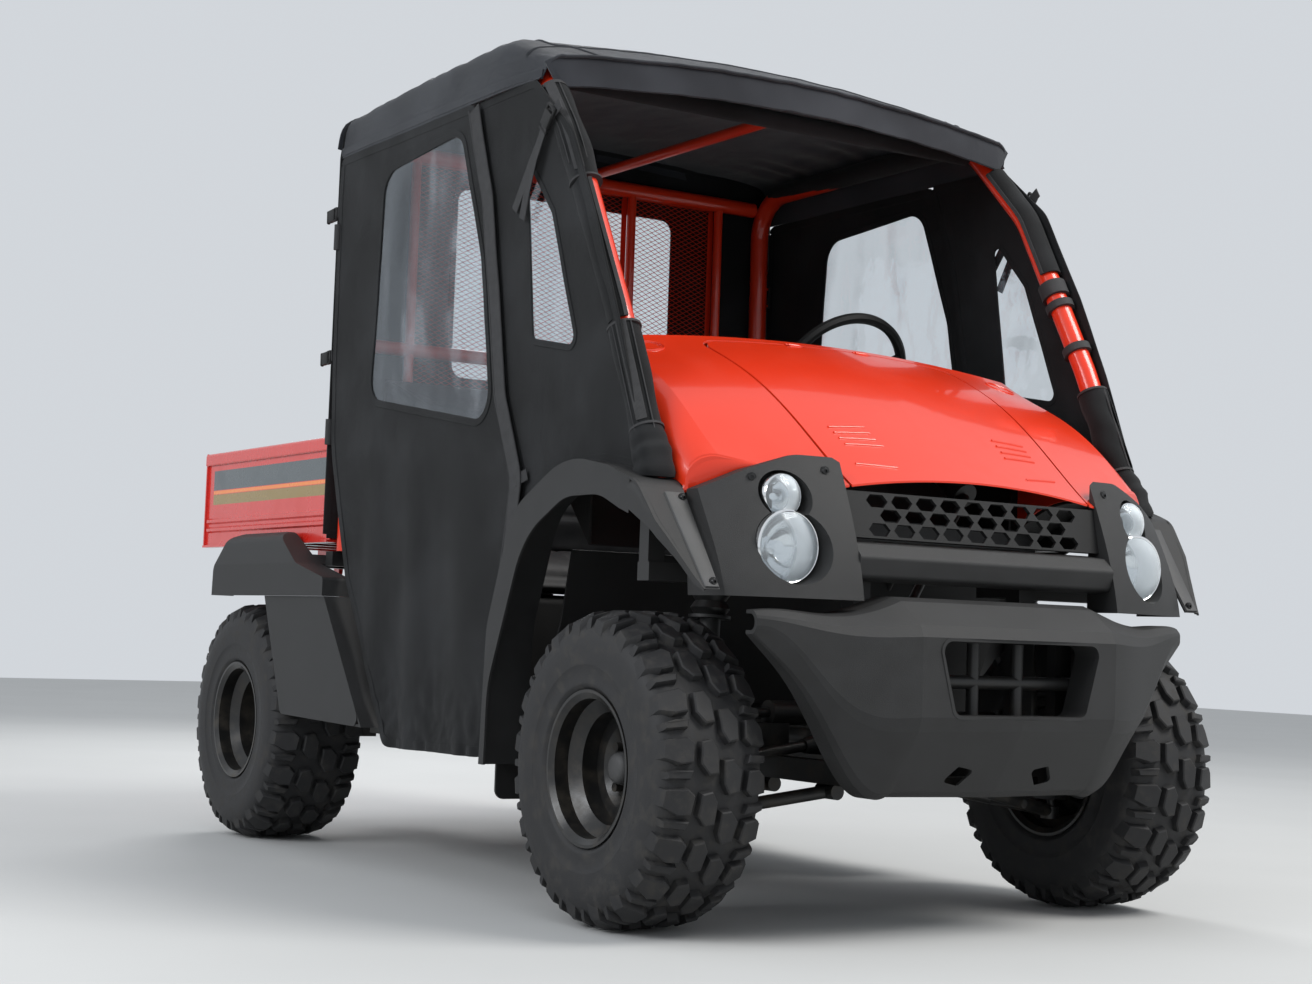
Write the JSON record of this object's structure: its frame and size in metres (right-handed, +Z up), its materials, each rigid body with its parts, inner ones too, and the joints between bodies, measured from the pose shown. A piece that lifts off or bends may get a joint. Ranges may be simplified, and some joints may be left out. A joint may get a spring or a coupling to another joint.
{
  "type": "side by side utility vehicle",
  "caption": "Compact two-seat utility vehicle with a fabric cab enclosure, lifting hood, soft doors, steered front wheels and a tipping cargo bed with a drop tailgate.",
  "frame": {"origin": "on the ground, in the middle of the overall length and width", "axes": "+X forward along the vehicle, +Y to its left, +Z up"},
  "size_m": [2.718, 1.4, 1.864],
  "materials": {
    "frame_black": "satin black paint",
    "black_plastic": "grained",
    "grey_plastic": "fine grained, satin",
    "red_plastic": "moulded gloss red",
    "red_steel": "gloss red paint",
    "red_mesh": "expanded metal, painted",
    "engine_metal": "cast",
    "spring_steel": "satin",
    "exhaust_steel": "heat tinted",
    "canopy_fabric": "coated cloth with a soft sheen",
    "side_fabric": "coated cloth",
    "clear_vinyl": "clear flexible sheet",
    "seat_vinyl": "grained vinyl",
    "lamp_glass": "clear lens",
    "tail_red": "red lens",
    "flap_rubber": "flat rubber",
    "tyre": "black rubber",
    "rim_black": "gloss black paint",
    "wheel_black": "soft grained"
  },
  "bodies": {
    "chassis": {"chassis_frame": "frame_black", "front_tower": "frame_black", "deck_frame": "frame_black", "bumper_guard": "frame_black", "skid_plate": "black_plastic", "engine_block": "engine_metal", "rear_axle": "frame_black", "rear_springs": "spring_steel", "front_arms": "frame_black", "drive_shafts": "frame_black", "steering_column": "frame_black", "floor_pan": "black_plastic", "pedals": "frame_black", "seat_base": "black_plastic", "seat_cushion": "seat_vinyl", "seat_back": "seat_vinyl", "dash_panel": "black_plastic", "cage_sides": "red_steel", "cage_rear_frame": "red_steel", "rear_screen": "red_mesh", "soft_top": "canopy_fabric", "rear_curtain": "side_fabric", "side_curtains": "side_fabric", "clear_windows": "clear_vinyl", "front_cowl": "red_plastic", "headlight_bezels": "grey_plastic", "headlamps": "lamp_glass", "grille": "black_plastic", "grille_bar": "grey_plastic", "bumper": "grey_plastic", "front_fenders": "grey_plastic", "mud_flaps": "flap_rubber", "side_covers": "grey_plastic", "rear_fenders": "grey_plastic", "tail_lamps": "tail_red", "hitch": "frame_black", "muffler": "exhaust_steel"},
    "knuckle_right": {"knuckle_right": "frame_black"},
    "knuckle_left": {"knuckle_left": "frame_black"},
    "steering_rack": {"steering_rack": "spring_steel"},
    "steering_wheel": {"steering_wheel": "wheel_black"},
    "wheel_front_right": {"tyre_front_right": "tyre", "rim_front_right": "rim_black"},
    "wheel_front_left": {"tyre_front_left": "tyre", "rim_front_left": "rim_black"},
    "wheel_rear_right": {"tyre_rear_right": "tyre", "rim_rear_right": "rim_black"},
    "wheel_rear_left": {"tyre_rear_left": "tyre", "rim_rear_left": "rim_black"},
    "hood": {"hood": "red_plastic"},
    "door_right": {"door_right": "side_fabric", "door_window_right": "clear_vinyl"},
    "door_left": {"door_left": "side_fabric", "door_window_left": "clear_vinyl"},
    "bed": {"bed_tray": "red_steel", "bed_sides": "red_steel"},
    "tailgate": {"tailgate": "red_steel"}
  },
  "joints": [
    {"name": "steer_right", "type": "hinge", "parent": "chassis", "child": "knuckle_right", "pos_m": [0.897, -0.495, 0.205], "axis": [-0.0213, 0.1687, 0.9854], "range_deg": [-28, 28]},
    {"name": "steer_left", "type": "hinge", "parent": "chassis", "child": "knuckle_left", "pos_m": [0.897, 0.495, 0.205], "axis": [-0.0213, -0.1687, 0.9854], "range_deg": [-28.5, 28.5]},
    {"name": "rack_slide", "type": "slide", "parent": "chassis", "child": "steering_rack", "axis": [0, 1, 0], "range_m": [-0.0525, 0.0525]},
    {"name": "steering_turn", "type": "hinge", "parent": "chassis", "child": "steering_wheel", "pos_m": [0.232, 0.39, 1.185], "axis": [-0.848, 0, 0.5299], "range_deg": [-352, 352]},
    {"name": "spin_front_right", "type": "hinge", "parent": "knuckle_right", "child": "wheel_front_right", "pos_m": [0.897, -0.575, 0.3], "axis": [0, 1, 0], "continuous": true},
    {"name": "spin_front_left", "type": "hinge", "parent": "knuckle_left", "child": "wheel_front_left", "pos_m": [0.897, 0.575, 0.3], "axis": [0, 1, 0], "continuous": true},
    {"name": "spin_rear_right", "type": "hinge", "parent": "chassis", "child": "wheel_rear_right", "pos_m": [-0.883, -0.57, 0.3], "axis": [0, 1, 0], "continuous": true},
    {"name": "spin_rear_left", "type": "hinge", "parent": "chassis", "child": "wheel_rear_left", "pos_m": [-0.883, 0.57, 0.3], "axis": [0, 1, 0], "continuous": true},
    {"name": "hood_lift", "type": "hinge", "parent": "chassis", "child": "hood", "pos_m": [0.697, 0, 1.179], "axis": [0, -1, 0], "range_deg": [0, 60]},
    {"name": "door_swing_right", "type": "hinge", "parent": "chassis", "child": "door_right", "pos_m": [-0.446, -0.65, 1], "axis": [0, 0, -1], "range_deg": [0, 90]},
    {"name": "door_swing_left", "type": "hinge", "parent": "chassis", "child": "door_left", "pos_m": [-0.446, 0.65, 1], "axis": [0, 0, 1], "range_deg": [0, 90]},
    {"name": "bed_tilt", "type": "hinge", "parent": "chassis", "child": "bed", "pos_m": [-1.215, 0, 0.742], "axis": [0, -1, 0], "range_deg": [0, 45]},
    {"name": "tailgate_drop", "type": "hinge", "parent": "bed", "child": "tailgate", "pos_m": [-1.352, 0, 0.76], "axis": [0, -1, 0], "range_deg": [0, 90]}
  ],
  "couplings": [
    {"joint": "steer_left", "follows": "steer_right", "ratio": 1},
    {"joint": "rack_slide", "follows": "steer_right", "m_per_rad": -0.1056},
    {"joint": "steering_turn", "follows": "steer_right", "ratio": 12.5}
  ]
}
